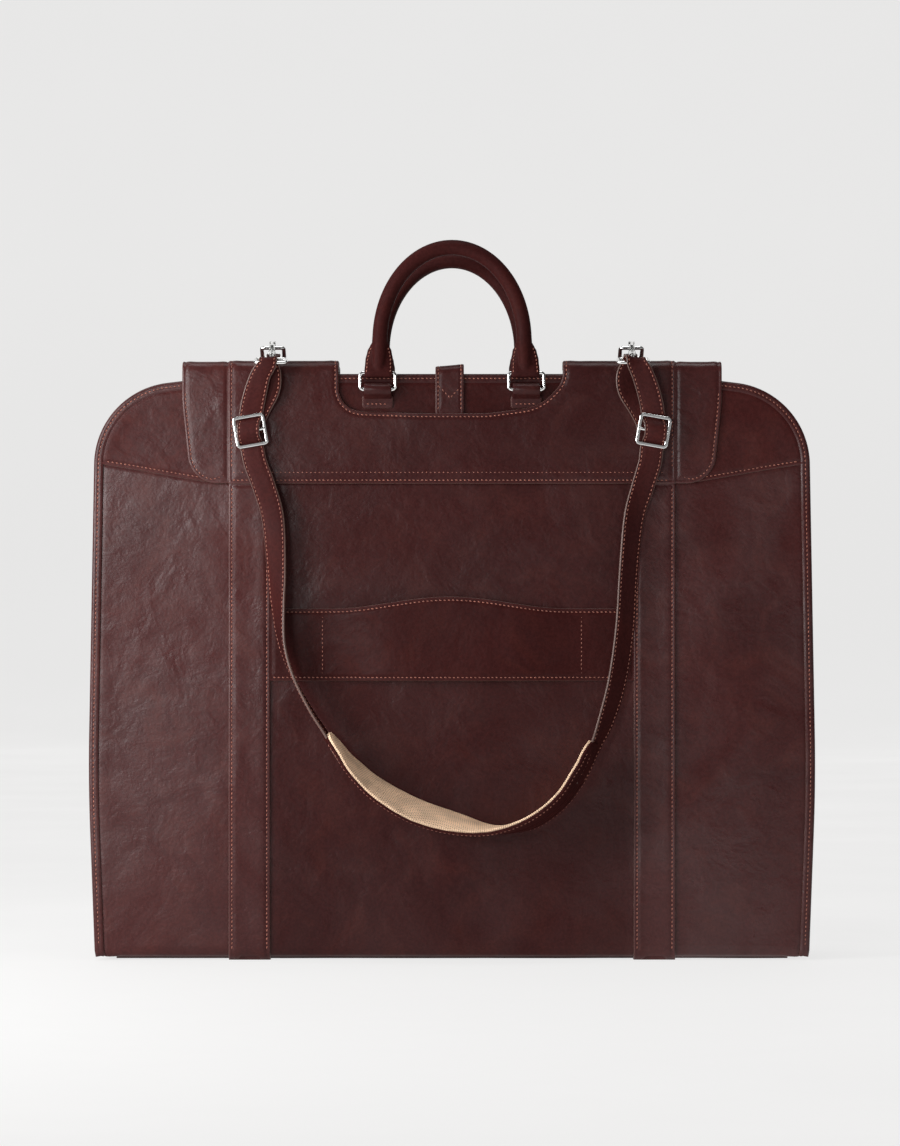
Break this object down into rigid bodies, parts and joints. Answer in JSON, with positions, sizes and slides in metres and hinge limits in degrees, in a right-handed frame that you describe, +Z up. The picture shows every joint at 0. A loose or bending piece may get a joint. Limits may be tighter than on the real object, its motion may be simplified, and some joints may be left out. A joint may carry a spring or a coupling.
{
  "type": "garment bag",
  "caption": "Folded leather garment bag with two rolled handles, a saddle flap and a padded shoulder strap hanging in front.",
  "frame": {"origin": "middle of the flat underside of the base panel, on the floor the bag stands on", "axes": "+X to the right seen from the front, +Y from the front to the back, +Z up"},
  "size_m": [0.612, 0.1665, 0.606],
  "materials": {
    "burgundy_leather": "smooth oxblood leather, soft sheen, mottled",
    "strap_leather": "smooth oxblood strap leather with painted edges",
    "lining_leather": "perforated natural beige leather",
    "polished_nickel": "polished nickel plate",
    "zinc_steel": "plain nickel-plated steel",
    "board": "dark stiffening board",
    "lining_fabric": "dark twill lining",
    "webbing": "dark woven webbing",
    "cord": "cotton piping cord"
  },
  "bodies": {
    "spine": {"spine_panel": "burgundy_leather", "base_panel": "burgundy_leather", "spine_board": "board", "spine_bands": "burgundy_leather"},
    "front_half": {"front_panel": "burgundy_leather", "front_yoke": "burgundy_leather", "front_binding": "burgundy_leather", "front_board": "board", "front_lining": "lining_fabric", "front_gusset": "burgundy_leather", "front_bands": "burgundy_leather", "trolley_sleeve": "burgundy_leather", "saddle_front": "burgundy_leather", "saddle_ears": "burgundy_leather", "saddle_tops": "burgundy_leather", "front_handle_tabs": "burgundy_leather", "centre_tab": "burgundy_leather", "hook_plate": "zinc_steel", "d_ring_tabs": "burgundy_leather", "pocket_divider": "lining_fabric", "pocket_zip": "webbing"},
    "back_half": {"back_panel": "burgundy_leather", "back_yoke": "burgundy_leather", "back_binding": "burgundy_leather", "back_board": "board", "back_lining": "lining_fabric", "back_gusset": "burgundy_leather", "back_bands": "burgundy_leather", "back_handle_tabs": "burgundy_leather", "flap_strikers": "zinc_steel", "hanger_bracket": "zinc_steel", "clamp_pin": "zinc_steel", "garment_straps": "webbing"},
    "left_flap": {"left_flap": "burgundy_leather", "left_flap_magnet": "zinc_steel"},
    "right_flap": {"right_flap": "burgundy_leather", "right_flap_magnet": "zinc_steel"},
    "front_rings": {"front_handle_rings": "polished_nickel"},
    "front_handle": {"front_handle": "strap_leather", "front_handle_core": "cord"},
    "back_rings": {"back_handle_rings": "polished_nickel"},
    "back_handle": {"back_handle": "strap_leather", "back_handle_core": "cord"},
    "d_rings": {"d_rings": "polished_nickel"},
    "strap_hooks": {"snap_hooks": "polished_nickel", "hook_swivels": "polished_nickel"},
    "left_hook_gate": {"left_hook_gate": "polished_nickel"},
    "right_hook_gate": {"right_hook_gate": "polished_nickel"},
    "shoulder_strap": {"left_strap": "strap_leather", "right_strap": "strap_leather", "slider_buckles": "polished_nickel", "shoulder_pad": "burgundy_leather", "pad_lining": "lining_leather"},
    "hanging_hook": {"hanging_hook": "polished_nickel"},
    "zip_slider": {"zip_slider": "zinc_steel"},
    "zip_puller": {"zip_puller": "zinc_steel"},
    "hanger_clamp": {"hanger_clamp": "zinc_steel"}
  },
  "joints": [
    {"name": "front_half_fold", "type": "hinge", "parent": "spine", "child": "front_half", "pos_m": [0, -0.05, 0.007], "axis": [1, 0, 0], "range_deg": [0, 90]},
    {"name": "back_half_fold", "type": "hinge", "parent": "spine", "child": "back_half", "pos_m": [0, 0.05, 0.007], "axis": [-1, 0, 0], "range_deg": [0, 90]},
    {"name": "left_flap_lift", "type": "hinge", "parent": "front_half", "child": "left_flap", "pos_m": [-0.161, -0.0014, 0.505], "axis": [1, 0, 0], "range_deg": [0, 80]},
    {"name": "right_flap_lift", "type": "hinge", "parent": "front_half", "child": "right_flap", "pos_m": [0.161, -0.0014, 0.505], "axis": [1, 0, 0], "range_deg": [0, 80]},
    {"name": "front_ring_swing", "type": "hinge", "parent": "front_half", "child": "front_rings", "pos_m": [0, -0.056, 0.48], "axis": [1, 0, 0], "range_deg": [0, 80]},
    {"name": "front_handle_swing", "type": "hinge", "parent": "front_rings", "child": "front_handle", "pos_m": [0, -0.056, 0.4942], "axis": [1, 0, 0], "range_deg": [0, 90]},
    {"name": "back_ring_swing", "type": "hinge", "parent": "back_half", "child": "back_rings", "pos_m": [0, 0.056, 0.48], "axis": [-1, 0, 0], "range_deg": [0, 80]},
    {"name": "back_handle_swing", "type": "hinge", "parent": "back_rings", "child": "back_handle", "pos_m": [0, 0.056, 0.4942], "axis": [-1, 0, 0], "range_deg": [0, 90]},
    {"name": "d_ring_swing", "type": "hinge", "parent": "front_half", "child": "d_rings", "pos_m": [0, -0.016, 0.5094], "axis": [-1, 0, 0], "range_deg": [0, 60]},
    {"name": "hook_swing", "type": "hinge", "parent": "d_rings", "child": "strap_hooks", "pos_m": [0, -0.02999, 0.51716], "axis": [-1, 0, 0], "range_deg": [0, 30]},
    {"name": "strap_swing", "type": "hinge", "parent": "strap_hooks", "child": "shoulder_strap", "pos_m": [0, -0.066, 0.502], "axis": [-1, 0, 0], "range_deg": [0, 90]},
    {"name": "left_gate_slide", "type": "slide", "parent": "strap_hooks", "child": "left_hook_gate", "axis": [0, -0.9217, -0.388], "range_m": [0, 0.0045]},
    {"name": "right_gate_slide", "type": "slide", "parent": "strap_hooks", "child": "right_hook_gate", "axis": [0, -0.9217, -0.388], "range_m": [0, 0.0045]},
    {"name": "hanging_hook_turn", "type": "hinge", "parent": "front_half", "child": "hanging_hook", "pos_m": [-0.002, 0.0008, 0.476], "axis": [0, 1, 0], "range_deg": [0, 180]},
    {"name": "zip_slide", "type": "slide", "parent": "front_half", "child": "zip_slider", "axis": [1, 0, 0], "range_m": [-0.4, 0]},
    {"name": "zip_puller_swing", "type": "hinge", "parent": "zip_slider", "child": "zip_puller", "pos_m": [0.204, -0.01, 0.43], "axis": [0, 0, -1], "range_deg": [0, 150]},
    {"name": "hanger_clamp_open", "type": "hinge", "parent": "back_half", "child": "hanger_clamp", "pos_m": [0, 0.038, 0.47], "axis": [-1, 0, 0], "range_deg": [0, 85]}
  ]
}
